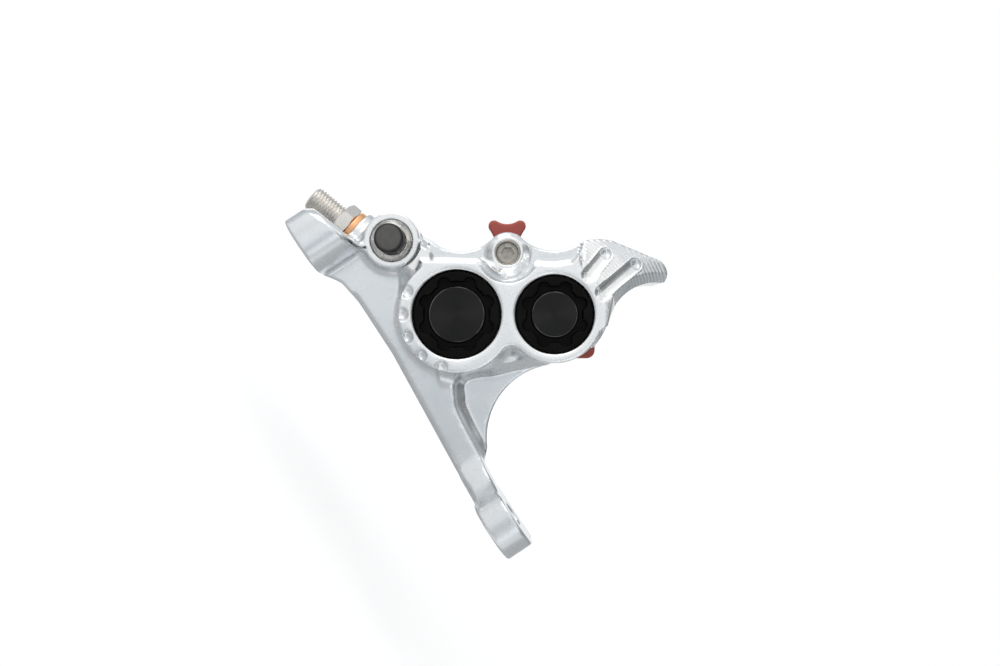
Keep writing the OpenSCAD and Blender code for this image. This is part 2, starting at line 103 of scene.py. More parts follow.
def vector_node(tree, operation, a, b=None, output=0):
    """The result of a vector maths node on vectors or sockets, where b is the factor of SCALE."""
    inputs = {0: a}
    if b is not None:
        inputs[3 if operation == "SCALE" else 1] = b
    return add_node(tree, "ShaderNodeVectorMath", inputs, operation=operation).outputs[output]


def ramp(tree, value, *stops):
    """A colour ramp through (position, colour) stops."""
    node = add_node(tree, "ShaderNodeValToRGB", {0: value})
    elements = node.color_ramp.elements
    while len(elements) < len(stops):
        elements.new(0.5)
    for element, (position, colour) in zip(elements, stops):
        element.position = position
        element.color = (*colour, 1)
    return node.outputs["Color"]


def remap(tree, value, from_low, from_high, to_low, to_high, kind="LINEAR"):
    """A value taken from one range to another, held at the ends."""
    node = add_node(tree, "ShaderNodeMapRange", {
        "Value": value, "From Min": from_low, "From Max": from_high, "To Min": to_low, "To Max": to_high},
        interpolation_type=kind)
    return node.outputs["Result"]


def mixed(tree, share, a, b):
    """One colour turning into another."""
    return add_node(tree, "ShaderNodeMix", {"Factor": share, 6: a, 7: b}, data_type="RGBA").outputs[2]


def object_place(tree):
    """The shaded point in the object's own frame, in metres."""
    return add_node(tree, "ShaderNodeTexCoord").outputs["Object"]


def noise(tree, scale, detail=3.0, roughness=0.55):
    """Cloudy noise from 0 to 1, about the scale's number of lumps to the metre."""
    node = add_node(tree, "ShaderNodeTexNoise", {
        "Vector": object_place(tree), "Scale": scale, "Detail": detail, "Roughness": roughness})
    return node.outputs["Fac"]


def bump(tree, height, distance, normal=None):
    """A normal leaning with a height, over another normal where one is given."""
    inputs = {"Height": height, "Distance": distance}
    if normal is not None:
        inputs["Normal"] = normal
    return add_node(tree, "ShaderNodeBump", inputs).outputs["Normal"]


def axis_radius(tree, centre):
    """Distance in metres from the line through a head-frame (u, v) along the rotor's axis."""
    at = HEAD_TO_ROW @ Vector((centre[0] * MM, centre[1] * MM, 0))
    out = vector_node(tree, "SUBTRACT", object_place(tree), (at.x, 0, at.z))
    return vector_node(tree, "LENGTH", vector_node(tree, "MULTIPLY", out, (1, 0, 1)), output="Value")


def new_material(name, **sockets):
    """A material with one Principled shader whose plain values are set on its own sockets."""
    material = bpy.data.materials.new(name)
    material.use_nodes = True
    tree = material.node_tree
    shader = tree.nodes["Principled BSDF"]
    for key, value in sockets.items():
        shader.inputs[key.replace("_", " ")].default_value = value
    return material, tree, shader


def link(tree, socket, shader, name):
    """Feeds a socket into a named input of a shader."""
    tree.links.new(socket, shader.inputs[name])


def worn_and_highlit_edges(tree, colour, edge_colour, low=0.53, high=0.62):
    """Colour that turns to the edge colour where the surface is sharply convex, partly edge wear and partly a
    painted highlight.
    """
    point = add_node(tree, "ShaderNodeNewGeometry").outputs["Pointiness"]
    # Painted highlight mixed with wear: sharply convex edges turn to the pale edge colour, broken up by noise.
    mask = remap(tree, point, low, high, 0, 1)
    broken = math_node(tree, "MULTIPLY", mask, remap(tree, noise(tree, 700), 0.35, 0.65, 0.4, 1.0), clamp=True)
    return mixed(tree, broken, colour, (*edge_colour, 1))


# Materials

# Where a painted highlight lightens the body's base colour, in metres: out front in Y, above the ears in Z, and
# round the bleed boss
PAINTED_HIGHLIGHT_FRONT = (-0.001, -0.0019)
PAINTED_HIGHLIGHT_RAISED = (0.0085, 0.0105)
PAINTED_HIGHLIGHT_BOSS = (0.0052, 0.0057)
# Pitch of the rings that a cap's disc is turned in, in metres
TURNED_PITCH = 0.00016


def grained(name, dark, light, colour_scale, rough, rough_scale, grain_scale, grain_depth, **sockets):
    """A surface with slow colour drift, uneven gloss and a fine grain in relief."""
    material, tree, shader = new_material(name, **sockets)
    link(tree, ramp(tree, noise(tree, colour_scale), (0.3, dark), (0.7, light)), shader, "Base Color")
    link(tree, remap(tree, noise(tree, rough_scale), 0.3, 0.7, *rough), shader, "Roughness")
    link(tree, bump(tree, noise(tree, grain_scale), grain_depth), shader, "Normal")
    return material


def silver_material():
    """Satin machined aluminium with a painted highlight lightening the faces out front, above the ears and round
    the bleed boss, a faint cutter grain, and pale edges that are partly wear and partly painted highlight.
    """
    material, tree, shader = new_material("silver_aluminium", Metallic=1.0)
    dull = ramp(tree, noise(tree, 160), (0.3, (0.755, 0.78, 0.80)), (0.7, (0.79, 0.81, 0.825)))
    # Painted highlight: a lighter grey for the faces out front, above the ears and round the bleed boss, where they
    # catch brighter light.
    bright = ramp(tree, noise(tree, 160), (0.3, (0.87, 0.88, 0.885)), (0.7, (0.91, 0.915, 0.92)))
    place = add_node(tree, "ShaderNodeSeparateXYZ", {0: object_place(tree)}).outputs
    front = remap(tree, place["Y"], *PAINTED_HIGHLIGHT_FRONT, 0, 1, "SMOOTHSTEP")
    raised = remap(tree, place["Z"], *PAINTED_HIGHLIGHT_RAISED, 0, 1, "SMOOTHSTEP")
    boss = remap(tree, axis_radius(tree, BLEED), *PAINTED_HIGHLIGHT_BOSS, 1, 0)
    # Painted highlight mask: the base colour turns to the lighter grey on those faces.
    turned = math_node(tree, "MAXIMUM", math_node(tree, "MULTIPLY", front, raised), boss)
    colour = mixed(tree, turned, dull, bright)
    # Edges painted pale: partly wear, partly a painted highlight.
    link(tree, worn_and_highlit_edges(tree, colour, (0.93, 0.93, 0.93)), shader, "Base Color")
    link(tree, remap(tree, noise(tree, 320), 0.3, 0.7, 0.22, 0.3), shader, "Roughness")
    fine = bump(tree, noise(tree, 5200, 2.0), 0.000012)
    link(tree, bump(tree, noise(tree, 900), 0.00001, fine), shader, "Normal")
    return material


def black_cap_material(name, centre, disc_radius):
    """Black anodised cap, its disc turned in fine rings inside a thin bright line that is a painted highlight of
    the disc's chamfered edge, broken up like worn anodising.
    """
    material, tree, shader = new_material(name, Anisotropic=0.95, IOR=1.4)
    radius = axis_radius(tree, centre)
    disc = remap(tree, radius, (disc_radius - 0.12) * MM, (disc_radius - 0.02) * MM, 1, 0)
    cloud = ramp(tree, noise(tree, 240), (0.3, (0.0035, 0.0035, 0.0032)), (0.7, (0.006, 0.006, 0.0055)))
    # Painted highlight: a thin pale line just inside the disc's edge, where its chamfer catches the light, broken
    # up like worn anodising.
    off = math_node(tree, "ABSOLUTE", math_node(tree, "SUBTRACT", radius, (disc_radius - 0.14) * MM))
    line = remap(tree, off, 0.00003, 0.0001, 1, 0)
    broken = math_node(tree, "MULTIPLY", line, remap(tree, noise(tree, 260), 0.4, 0.62, 0.1, 0.8), clamp=True)
    link(tree, mixed(tree, broken, cloud, (0.2, 0.2, 0.19, 1)), shader, "Base Color")
    link(tree, remap(tree, disc, 0, 1, 0.1, 0.42), shader, "Specular IOR Level")
    link(tree, remap(tree, noise(tree, 500), 0.3, 0.7, 0.38, 0.46), shader, "Roughness")
    tangent = add_node(tree, "ShaderNodeTangent", direction_type="RADIAL", axis="Y").outputs["Tangent"]
    link(tree, tangent, shader, "Tangent")
    turned = math_node(tree, "SINE", math_node(tree, "MULTIPLY", radius, 2 * math.pi / TURNED_PITCH))
    link(tree, bump(tree, turned, 0.0000015), shader, "Normal")
    return material


def cap_rubber_material():
    """Rubber of the nipple's cap, its flat top a lighter grey as a painted sheen, and black round the edge."""
    material, tree, shader = new_material("cap_rubber")
    radius = axis_radius(tree, BLEED)
    # Painted sheen: the flat top is a lighter, clouded grey than the black rounded edge.
    top = remap(tree, radius, 0.0023, 0.0028, 1, 0, "SMOOTHSTEP")
    painted_sheen = ramp(tree, noise(tree, 600), (0.3, (0.085, 0.083, 0.08)), (0.7, (0.115, 0.112, 0.107)))
    link(tree, mixed(tree, top, (0.012, 0.012, 0.011, 1), painted_sheen), shader, "Base Color")
    link(tree, remap(tree, noise(tree, 900), 0.3, 0.7, 0.5, 0.65), shader, "Roughness")
    link(tree, bump(tree, noise(tree, 3000), 0.00002), shader, "Normal")
    return material


silver = silver_material()
black_large = black_cap_material("black_anodised_large", LARGE_BORE, 5.7)
black_small = black_cap_material("black_anodised_small", SMALL_BORE, 4.7)
cap_rubber = cap_rubber_material()
rubber = grained("rubber", (0.022, 0.021, 0.02), (0.035, 0.034, 0.033), 300, (0.5, 0.66), 500, 2600, 0.00002)
steel = grained("stainless_steel", (0.71, 0.685, 0.65), (0.83, 0.805, 0.77), 260, (0.24, 0.36), 700, 2400, 0.00001,
                Metallic=1.0)
pin_steel = grained("pin_steel", (0.42, 0.40, 0.36), (0.56, 0.53, 0.48), 900, (0.3, 0.45), 700, 2400, 0.00002,
                    Metallic=1.0)
piston = grained("piston_steel", (0.58, 0.58, 0.58), (0.68, 0.68, 0.68), 200, (0.14, 0.24), 900, 5000, 0.000006,
                 Metallic=1.0)
copper = grained("copper", (0.80, 0.40, 0.20), (0.92, 0.52, 0.28), 350, (0.28, 0.4), 800, 2400, 0.00001,
                 Metallic=1.0)
red = grained("red_plastic", (0.40, 0.066, 0.05), (0.46, 0.085, 0.066), 120, (0.36, 0.5), 500, 1800, 0.00003)
phenolic = grained("phenolic", (0.11, 0.055, 0.028), (0.2, 0.11, 0.06), 900, (0.5, 0.7), 700, 3000, 0.00004)
backing = grained("backing_steel", (0.055, 0.056, 0.06), (0.085, 0.086, 0.09), 300, (0.45, 0.6), 600, 1600,
                  0.00003)
lining = grained("lining", (0.09, 0.07, 0.055), (0.19, 0.15, 0.12), 1500, (0.7, 0.9), 900, 2200, 0.00012)
spring = grained("spring_steel", (0.17, 0.18, 0.2), (0.27, 0.28, 0.3), 300, (0.22, 0.36), 800, 3000, 0.00001,
                 Metallic=1.0)


# Distance fields: a closed surface is (points, triangles, quads) in head-frame mm

def cad_surface(node):
    """A CAD node's mesh as a closed surface."""
    mesh = nodes[node].data
    points = np.empty(len(mesh.vertices) * 3, np.float32)
    mesh.vertices.foreach_get("co", points)
    mesh.calc_loop_triangles()
    triangles = np.empty(len(mesh.loop_triangles) * 3, np.int32)
    mesh.loop_triangles.foreach_get("vertices", triangles)
    return to_head(points.reshape(-1, 3) / MM), triangles.reshape(-1, 3).astype(np.uint32), ()


def level_set(surface, cell, reach):
    """Signed distance to a closed surface, known to at least that reach."""
    points, triangles, quads = surface
    return openvdb.FloatGrid.createLevelSetFromPolygons(
        points.astype(np.float32), triangles=triangles if len(triangles) else None,
        quads=quads if len(quads) else None, transform=openvdb.createLinearTransform(voxelSize=cell),
        halfWidth=reach / cell + 3)


def offset(surface, cell, *steps):
    """The field after the surface has moved out, or in, by each step in turn."""
    reach = [abs(step) for step in steps] + [0.6]
    grid = level_set(surface, cell, reach[0])
    for step, after in zip(steps, reach[1:]):
        grid = level_set(grid.convertToPolygons(isovalue=step, adaptivity=0.01), cell, after)
    return grid


class Block:
    """A box of a field as a dense array, with the head-frame places of its cells."""

    def __init__(self, grid, cell, low, high):
        self.cell = cell
        self.low = [int(math.floor(a / cell)) for a in low]
        self.shape = [int(math.ceil(b / cell)) - a + 1 for a, b in zip(self.low, high)]
        self.values = np.empty(self.shape, np.float32)
        grid.copyToArray(self.values, ijk=self.low)

    def axes(self):
        """Cell places along u, v and w, ready to spread over the block."""
        places = [(np.arange(n, dtype=np.float32) + a) * self.cell for a, n in zip(self.low, self.shape)]
        return np.meshgrid(*places, indexing="ij", sparse=True)

    def part(self, low, high):
        """The slices of the cells inside a box."""
        return tuple(slice(int(math.ceil(a / self.cell)) - o, int(math.floor(b / self.cell)) - o + 1)
                     for a, b, o in zip(low, high, self.low))

    def places(self, part):
        """Cell places along u, v and w inside such slices, ready to spread over them."""
        return [axis[tuple(s if n > 1 else slice(None) for s, n in zip(part, axis.shape))] for axis in self.axes()]

    def soften(self):
        """One pass of a short blur, which takes out the cell steps."""
        for axis in range(3):
            blurred = np.roll(self.values, 1, axis)
            blurred += np.roll(self.values, -1, axis)
            blurred += 2 * self.values
            blurred *= 0.25
            self.values = blurred

    def at(self, points):
        """Field values at points, between the cells."""
        place = points / self.cell - np.array(self.low)
        base = np.clip(np.floor(place).astype(int), 0, np.array(self.shape) - 2)
        part = place - base
        total = np.zeros(len(points))
        for corner in np.ndindex(2, 2, 2):
            weight = np.prod(np.where(corner, part, 1 - part), axis=1)
            i, j, k = (base + corner).T
            total += weight * self.values[i, j, k]
        return total

    def normals(self, points):
        """Unit slopes of the field at points, which face out of the solid."""
        columns = []
        for axis in range(3):
            step = np.zeros(3)
            step[axis] = self.cell
            columns.append(self.at(points + step) - self.at(points - step))
        normals = np.stack(columns, 1)
        return normals / np.maximum(np.linalg.norm(normals, axis=1, keepdims=True), 1e-9)

    def surface(self, merge):
        """Points and faces of the field's zero surface, with cells merged where it bends less than a share."""
        grid = openvdb.FloatGrid(1.0)
        grid.transform = openvdb.createLinearTransform(voxelSize=self.cell)
        grid.copyFromArray(self.values, ijk=self.low)
        points, triangles, quads = grid.convertToPolygons(isovalue=0.0, adaptivity=merge)
        return points, triangles.tolist() + quads.tolist()


def smooth_step(x, low, high):
    """Goes smoothly from 0 at low to 1 at high."""
    t = np.clip((x - low) / (high - low), 0, 1)
    return t * t * (3 - 2 * t)


def smooth_min(a, b, blend):
    """The lesser of two fields, run into each other where they are closer than the blend."""
    share = np.clip(0.5 + 0.5 * (a - b) / blend, 0, 1)
    return a * (1 - share) + b * share - blend * share * (1 - share)


# Pieces

# The bend, as a share, below which neighbouring cells of a surface are merged
MERGE = 0.02


def new_piece(name, points, faces, material, body, stands_for=()):
    """A smooth mesh object from row-frame points in mm, riding a body, in place of CAD nodes where it is one."""
    mesh = bpy.data.meshes.new(name)
    mesh.from_pydata(np.asarray(points) * MM, [], faces)
    mesh.validate()
    mesh.shade_smooth()
    obj = bpy.data.objects.new(name, mesh)
    bpy.context.scene.collection.objects.link(obj)
    mesh.materials.append(material)
    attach(obj, body)
    if stands_for:
        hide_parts(*stands_for)
    return obj


def field_piece(name, block, merge, material, body, stands_for):
    """The surface of a field as a piece, shaded by the field's own slope."""
    points, faces = block.surface(merge)
    normals = block.normals(points)
    a, b, c = (points[[face[i] for face in faces]] for i in range(3))
    first = normals[[face[0] for face in faces]]
    if np.einsum("ij,ij->i", np.cross(b - a, c - a), first).sum() < 0:
        faces = [face[::-1] for face in faces]
    obj = new_piece(name, to_row(points), faces, material, body, stands_for)
    turned = to_row(normals) - to_row(np.zeros((1, 3)))
    obj.data.normals_split_custom_set_from_vertices(turned.tolist())
    return obj


def rounded_piece(node, cell, fillet, edge, material, body, press=1.0):
    """A CAD node with its inner corners filleted and its edges broken, pressed flatter along the rotor's axis."""
    points, triangles, quads = cad_surface(node)
    points = points * (1, 1, press)
    grid = offset((points, triangles, quads), cell, fillet, -fillet - edge, edge)
    block = Block(grid, cell, points.min(0) - 0.5, points.max(0) + 0.5)
    return field_piece(node + "_shell", block, MERGE, material, body, [node])


def lathe(rings, segments, place):
    """Points and quads of a closed form of turned rings, each a (radius, height) of numbers or arrays."""
    angle = np.arange(segments) * 2 * math.pi / segments
    points = []
    for radius, height in rings:
        r = np.broadcast_to(radius, angle.shape)
        h = np.broadcast_to(height, angle.shape)
        points.append(np.stack([r * np.cos(angle), r * np.sin(angle), h], 1))
    faces = []
    for i in range(len(rings)):
        a, b = i * segments, (i + 1) % len(rings) * segments
        for j in range(segments):
            k = (j + 1) % segments
            faces.append((a + j, a + k, b + k, b + j))
    return place(np.concatenate(points)), faces


# The body: the CAD solid with milled corners, broken edges, a bevelled tail and its grip grooves

CELL = 0.17
FILLET = 1.0
EDGE = 0.25
# Boxes where a larger ball cutter has left its radius in the corners
MILLED_CELL = 0.36
MILLED = (
    (1.9, (-28, -18, 8), (-2, 6, 18)),
    (3.2, (-16, -36, 5), (17, -2, 20.6)),
    (1.9, (-23, 4, 8), (17, 18, 20.5)),
    (3.2, (-24, 3, 8), (-12, 20, 20.5)),
    (3.2, (14.5, 2, 8), (30.5, 15.5, 20.6)),
)
# Holes and the bleed boss, which stay as they were drilled and turned
DRILLED = ((PIN, 6.2), (BLEED, 6.1), (LARGE_BORE, 9.9), (SMALL_BORE, 8.9))
DRILLED_FADE = 0.3
MILLED_FADE, MILLED_FALL, MILLED_SINK = 2.0, 2.0, 0.03
POCKET_LOW, POCKET_HIGH = (-22.0, -14.5, -6.3), (23.0, 15.5, 6.3)
BORE_WALLS = ((LARGE_BORE, 9.8), (SMALL_BORE, 8.8))
BORE_DEPTH = 16.2

FACE_W = 20.0
TAIL_ROOT, TAIL_SLOPE = 10.6, 0.57
TAIL_LOW, TAIL_HIGH = (15.0, -4.0, 6.0), (35.5, 17.0, 20.5)
SCOOP, SCOOP_RADIUS = (32.0, -4.4), 11.3
SCOOP_BEVEL = 1.9
TAIL_SLOTS = (((16.9, 8.0), (20.6, 12.4)), ((19.7, 4.4), (27.0, 10.4)))
SLOT_HALF, SLOT_BALL = 1.55, 2.1
PIT_RADIUS, PIT_SIT = 1.5, 0.5
BEVEL_FADE = (10.5, 13.5)
GROOVE_PITCH, GROOVE_DEPTH, GROOVE_START = 0.72, 0.18, 12.3
GROOVE_FADE, SLOT_FADE, GROOVE_FACING = 0.4, 0.3, (0.15, 0.45)

DIMPLES, DIMPLE_START, DIMPLE_STEP = 5, math.radians(155.7), math.radians(24.4)
DIMPLE_REACH, DIMPLE_RADIUS, DIMPLE_W = 11.2, 1.4, FACE_W + 0.25


def mill_corners(block, surface):
    """Fills the inner corners in each box to the radius of its cutter."""
    for radius in sorted({radius for radius, _, _ in MILLED}):
        closed = offset(surface, MILLED_CELL, radius, -radius)
        for low, high in ((low, high) for r, low, high in MILLED if r == radius):
            coarse = Block(closed, MILLED_CELL, np.array(low) - 1, np.array(high) + 1)
            part = block.part(low, high)
            u, v, w = np.broadcast_arrays(*block.places(part))
            filled = coarse.at(np.stack([u.ravel(), v.ravel(), w.ravel()], 1)).reshape(u.shape)
            inset = np.min([np.minimum(x - a, b - x) for x, a, b in zip((u, v, w), low, high)], axis=0)
            fade = 1 - smooth_step(inset, 0, MILLED_FADE)
            for (u0, v0), hole in DRILLED:
                fade = np.maximum(fade, 1 - smooth_step(np.hypot(u - u0, v - v0), hole, hole + DRILLED_FADE))
            block.values[part] = np.minimum(block.values[part], filled + MILLED_SINK + MILLED_FALL * fade)


def keep_working_walls(block, sharp):
    """Puts the pad pocket and the bores back as they were, so that what slides there stays clear."""
    part = block.part(POCKET_LOW, POCKET_HIGH)
    block.values[part] = sharp.values[part]
    for (u0, v0), radius in BORE_WALLS:
        part = block.part((u0 - radius, v0 - radius, -BORE_DEPTH), (u0 + radius, v0 + radius, BORE_DEPTH))
        u, v, w = block.places(part)
        inside = np.hypot(u - u0, v - v0) < radius
        block.values[part] = np.where(inside, sharp.values[part], block.values[part])


def segment_distance(u, v, start, end):
    """Distance from (u, v) to a straight line between two points."""
    along = np.array(end) - np.array(start)
    t = ((u - start[0]) * along[0] + (v - start[1]) * along[1]) / (along @ along)
    t = np.clip(t, 0, 1)
    return np.hypot(u - start[0] - t * along[0], v - start[1] - t * along[1])


def shape_tail(block):
    """Bevels the tail's scooped edge, cuts two slots with a ball and grip grooves in arcs about the small bore."""
    part = block.part(TAIL_LOW, TAIL_HIGH)
    u, v, w = block.places(part)
    values = block.values[part]
    radius = np.hypot(u - SMALL_BORE[0], v - SMALL_BORE[1])
    depth = (FACE_W - np.maximum(radius - TAIL_ROOT, 0) * TAIL_SLOPE - w) / math.hypot(1, TAIL_SLOPE)
    inland = np.hypot(u - SCOOP[0], v - SCOOP[1]) - SCOOP_RADIUS
    bevel = (SCOOP_BEVEL * smooth_step(radius, *BEVEL_FADE) - inland - depth) / math.sqrt(2)
    values = np.maximum(values, bevel)
    sit = math.sqrt(SLOT_BALL ** 2 - SLOT_HALF ** 2)
    for start, end in TAIL_SLOTS:
        values = np.maximum(values, SLOT_BALL - np.hypot(segment_distance(u, v, start, end), depth + sit))
        values = np.maximum(values, PIT_RADIUS - np.hypot(np.hypot(u - end[0], v - end[1]), depth + PIT_SIT))
    scallop = np.abs(np.sin(math.pi * radius / GROOVE_PITCH))
    share = smooth_step(radius, GROOVE_START, GROOVE_START + GROOVE_FADE)
    for start, end in TAIL_SLOTS:
        share = share * smooth_step(segment_distance(u, v, start, end), SLOT_HALF, SLOT_HALF + SLOT_FADE)
    facing = np.gradient(values, block.cell, axis=2)
    block.values[part] = values + GROOVE_DEPTH * scallop * share * smooth_step(facing, *GROOVE_FACING)


# The ledge over the rings, cut back with a ball: its wall in (u, v), its floor and the ball
LEDGE_U = (-18.0, -10.0, -4.0, 6.0, 10.0, 13.4, 14.5, 15.6, 17.0)
LEDGE_V = (10.8, 10.7, 10.5, 10.2, 9.9, 10.4, 11.4, 13.2, 20.0)
LEDGE_W, LEDGE_BALL = 15.02, 1.5
LEDGE_LOW, LEDGE_HIGH = (-18.0, 5.0, 14.0), (17.0, 17.0, 21.0)
PIN_BOWL, PIN_FOOT, BOWL_BLEND = 6.4, 4.9, 1.0
# The corner between the bleed boss and the large ring, left standing to a height
CORNER, CORNER_W, CORNER_BLEND = (-18.4, 11.6), 15.8, 1.8
CORNER_SPREAD, CORNER_FALL = (2.5, 5.5), 8
CORNER_LOW, CORNER_HIGH = (-25.0, 5.0, 8.0), (-12.0, 18.0, 19.0)
BOSS_RIM = (6.1, 6.5)


def cut_ledge(block):
    """Cuts the ledge and the bowl round the pin's boss, leaving the ball's radius along the foot of their wall."""
    part = block.part(LEDGE_LOW, LEDGE_HIGH)
    u, v, w = block.places(part)
    from_pin = np.hypot(u - PIN[0], v - PIN[1])
    ledge, bowl = v - np.interp(u, LEDGE_U, LEDGE_V), PIN_BOWL - from_pin
    wall = np.minimum(-smooth_min(-ledge, -bowl, BOWL_BLEND), from_pin - PIN_FOOT)
    x, y = LEDGE_BALL - wall, LEDGE_BALL - (w - LEDGE_W)
    cut = LEDGE_BALL - np.hypot(np.maximum(x, 0), np.maximum(y, 0)) - np.minimum(np.maximum(x, y), 0)
    block.values[part] = np.maximum(block.values[part], cut)


def fill_corner(block):
    """Blends the metal left between the bleed boss and the large ring into both."""
    part = block.part(CORNER_LOW, CORNER_HIGH)
    u, v, w = block.places(part)
    apart = smooth_step(np.hypot(u - CORNER[0], v - CORNER[1]), *CORNER_SPREAD)
    apart = np.maximum(apart, 1 - smooth_step(np.hypot(u - BLEED[0], v - BLEED[1]), *BOSS_RIM))
    metal = w - CORNER_W + CORNER_FALL * apart
    values = block.values[part]
    block.values[part] = np.where(apart < 1, smooth_min(metal, values, CORNER_BLEND), values)


def press_dimples(block):
    """Cuts the row of ball dimples round the edge of the large ring."""
    for turn in DIMPLE_START + DIMPLE_STEP * np.arange(DIMPLES):
        u0 = LARGE_BORE[0] + DIMPLE_REACH * math.cos(turn)
        v0 = LARGE_BORE[1] + DIMPLE_REACH * math.sin(turn)
        place = np.array([u0, v0, DIMPLE_W])
        part = block.part(place - 2, place + 2)
        u, v, w = (axis - a for axis, a in zip(block.places(part), place))
        block.values[part] = np.maximum(block.values[part], DIMPLE_RADIUS - np.sqrt(u * u + v * v + w * w))


def make_body():
    """The body's shell: the rounded solid, then what the cutters leave on it, from coarse to fine."""
    surface = cad_surface("caliper_body")
    low, high = surface[0].min(0) - 1, surface[0].max(0) + 1
    block = Block(offset(surface, CELL, FILLET, -FILLET - EDGE, EDGE), CELL, low, high)
    mill_corners(block, surface)
    keep_working_walls(block, Block(level_set(surface, CELL, 0.6), CELL, low, high))
    cut_ledge(block)
    fill_corner(block)
    block.soften()
    shape_tail(block)
    press_dimples(block)
    field_piece("body_shell", block, MERGE, silver, "caliper", ["caliper_body"])


make_body()


# Small pieces with their edges broken

# The leaves of the spring stand as close together as the pads press them, and so are never run through.
SPRING_PRESS = 0.87

rounded_piece("bore_cap_large", 0.1, 0.1, 0.12, black_large, "caliper")
rounded_piece("bore_cap_small", 0.1, 0.1, 0.12, black_small, "caliper")
rounded_piece("copper_washer", 0.08, 0.05, 0.25, copper, "caliper")
rounded_piece("transport_spacer", 0.15, 0.1, 0.35, red, "spacer")
rounded_piece("bleed_nipple", 0.1, 0.08, 0.12, steel, "nipple")
rounded_piece("nipple_cap", 0.08, 0.05, 0.24, cap_rubber, "dust_cap")
rounded_piece("pad_spring", 0.08, 0.2, 0.08, spring, "caliper", SPRING_PRESS)


# Hose connector: fine thread, chamfered hexagon, collar and stem round a through hole

THREAD_RADIUS, THREAD_PITCH, THREAD_DEPTH = 3.0, 0.75, 0.4
HEX_START, HEX_END, HEX_FLATS = 7.75, 10.7, 8.0
HEX_TURN = math.radians(30)
# Both ends of the hexagon are turned down: (distance from the end, radius there)
HEX_CHAMFER = ((0.0, 3.85), (0.06, 4.0), (0.2, 4.25), (0.42, 4.7))
COLLAR_RADIUS, COLLAR_END = 3.9, 10.8
STEM_END = 18.4
HOLE_RADIUS, MOUTH_RADIUS, MOUTH_DEPTH = 1.0, 2.2, 1.6
CONNECTOR_SEGMENTS = 96
THREAD_STEPS = 8


def on_port(points):
    """Points about the connector's axis, as row-frame points."""
    x, y, z = points.T
    c, s = math.cos(PORT_ANGLE), math.sin(PORT_ANGLE)
    return to_row(np.stack([PORT[0] + z * c - y * s, PORT[1] + z * s + y * c, -x], 1))


def make_connector():
    """The connector as one turned form, from its mouth along the outside and back through its hole."""
    angle = np.arange(CONNECTOR_SEGMENTS) * 2 * math.pi / CONNECTOR_SEGMENTS
    rings = [(MOUTH_RADIUS, 0.0)]
    for z in np.arange(0, HEX_START, THREAD_PITCH / THREAD_STEPS):
        turn = (z / THREAD_PITCH - angle / (2 * math.pi)) % 1
        ridge = np.clip(1.6 * np.abs(2 * turn - 1) - 0.25, 0, 1)
        cut = THREAD_DEPTH * (1 - ridge) * smooth_step(HEX_START - z, 0.1, 0.6)
        rings.append((np.minimum(THREAD_RADIUS - cut, THREAD_RADIUS - 0.5 + z), z))
    across = HEX_FLATS / 2 / np.cos((angle - HEX_TURN) % (math.pi / 3) - math.pi / 6)
    rings.append((THREAD_RADIUS - 0.1, HEX_START))
    rings += [(np.minimum(across, limit), HEX_START + z) for z, limit in HEX_CHAMFER]
    rings += [(np.minimum(across, limit), HEX_END - z) for z, limit in reversed(HEX_CHAMFER)]
    rings += [(COLLAR_RADIUS - 0.1, HEX_END), (COLLAR_RADIUS - 0.08, COLLAR_END - 0.1)]
    rings += [(COLLAR_RADIUS - 0.2, COLLAR_END)]
    rings += [(THREAD_RADIUS, COLLAR_END), (THREAD_RADIUS, STEM_END - 0.4), (THREAD_RADIUS - 0.4, STEM_END)]
    rings += [(HOLE_RADIUS, STEM_END), (HOLE_RADIUS, MOUTH_DEPTH)]
    points, faces = lathe(rings, CONNECTOR_SEGMENTS, on_port)
    obj = new_piece("connector", points, faces, steel, "caliper", ["hose_connector"])
    obj.data.set_sharp_from_angle(angle=math.radians(28))


make_connector()


# Thread left in the pin's hole, outside the pin's head

PIN_THREAD_LOW, PIN_THREAD_HIGH = 14.5, 16.6
PIN_THREAD_PITCH, PIN_THREAD_DEPTH = 0.6, 0.28
PIN_THREAD_INNER, PIN_THREAD_OUTER = 2.22, 2.56
PIN_SEGMENTS = 64


def on_pin(points):
    """Points about the pin's axis, as row-frame points."""
    return to_row(points + np.array([PIN[0], PIN[1], 0]))


def make_pin_thread():
    """A threaded ring, its ridges facing in."""
    angle = np.arange(PIN_SEGMENTS) * 2 * math.pi / PIN_SEGMENTS
    rings = [(PIN_THREAD_OUTER, PIN_THREAD_LOW)]
    for z in np.arange(PIN_THREAD_LOW, PIN_THREAD_HIGH, PIN_THREAD_PITCH / THREAD_STEPS):
        turn = (z / PIN_THREAD_PITCH - angle / (2 * math.pi)) % 1
        rings.append((PIN_THREAD_INNER + PIN_THREAD_DEPTH * np.abs(2 * turn - 1), z))
    rings.append((PIN_THREAD_OUTER, PIN_THREAD_HIGH))
    points, faces = lathe(rings[::-1], PIN_SEGMENTS, on_pin)
    new_piece("pin_thread", points, faces, pin_steel, "caliper")


make_pin_thread()


# Finishes of the CAD pieces that show as they are

FINISHES = (
    (rubber, [n for n in nodes if "seal" in n]),
    (piston, [n for n in nodes if "piston" in n]),
    (phenolic, [n for n in nodes if "insert" in n]),
    (backing, ["outer_pad_plate", "inner_pad_plate"]),
    (lining, ["outer_pad_lining", "inner_pad_lining"]),
    (spring, ["pin_clip"]),
    (pin_steel, ["pad_pin"]),
)
BEVELLED = {"outer_pad_plate": 0.15, "inner_pad_plate": 0.15, "outer_pad_lining": 0.2, "inner_pad_lining": 0.2,
            "pad_pin": 0.12, "pin_clip": 0.08}

